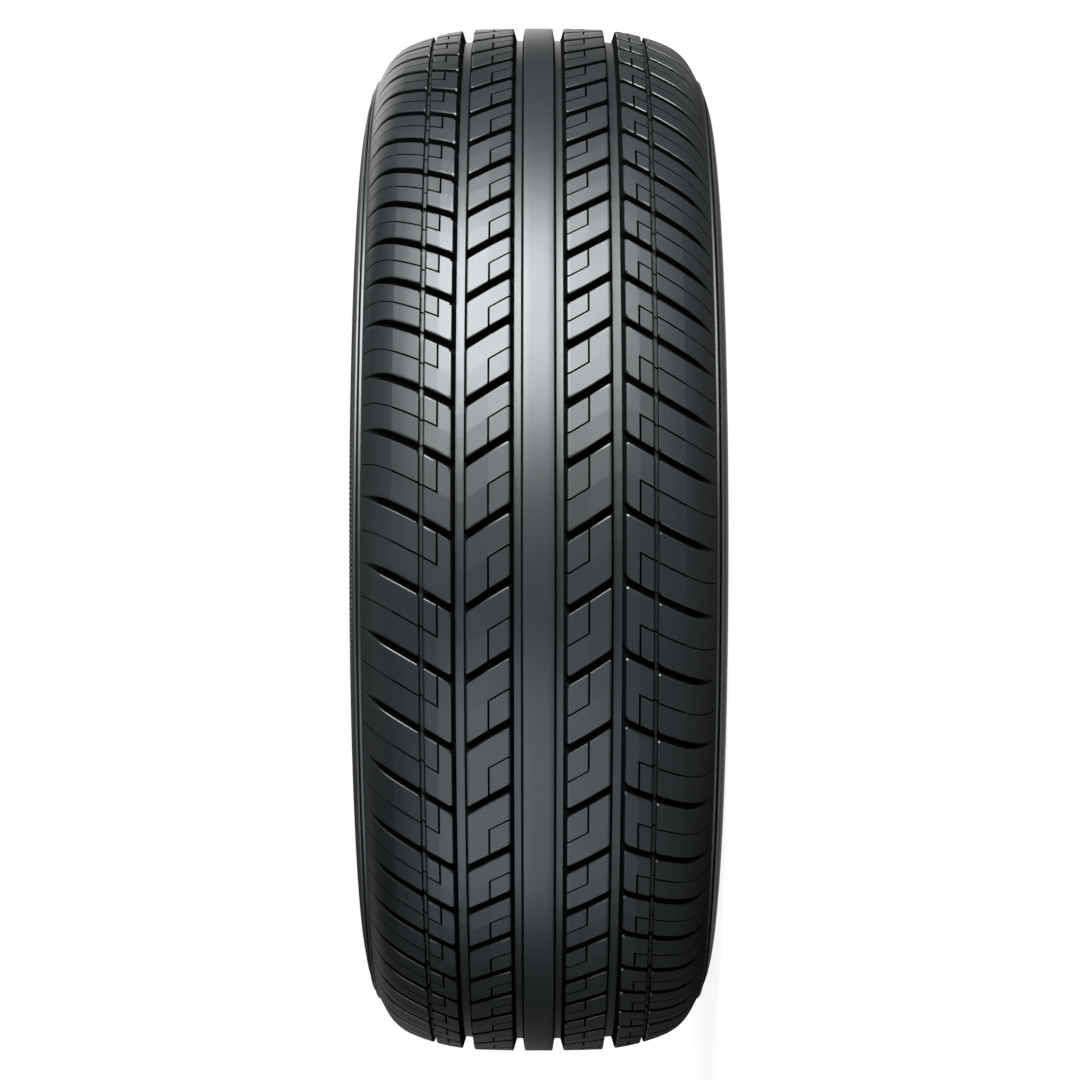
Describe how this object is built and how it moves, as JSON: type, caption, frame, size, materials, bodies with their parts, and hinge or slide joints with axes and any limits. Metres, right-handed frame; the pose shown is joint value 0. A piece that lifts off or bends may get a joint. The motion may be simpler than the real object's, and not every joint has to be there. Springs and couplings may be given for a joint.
{
  "type": "car tyre",
  "caption": "Round car tyre with a ribbed tread, straight main grooves and a zigzag of lateral grooves, curved sidewalls and two beads.",
  "frame": {"origin": "centre of the wheel: on the axle, in the middle of the tread", "axes": "+Z along the axle, so the tyre lies on one sidewall; X and Y are any two directions across it"},
  "size_m": [0.6149, 0.615, 0.202],
  "materials": {
    "tyre": "moulded black rubber, satin tread, matt sidewall"
  },
  "bodies": {
    "root": {"tyre": "tyre"}
  },
  "joints": []
}
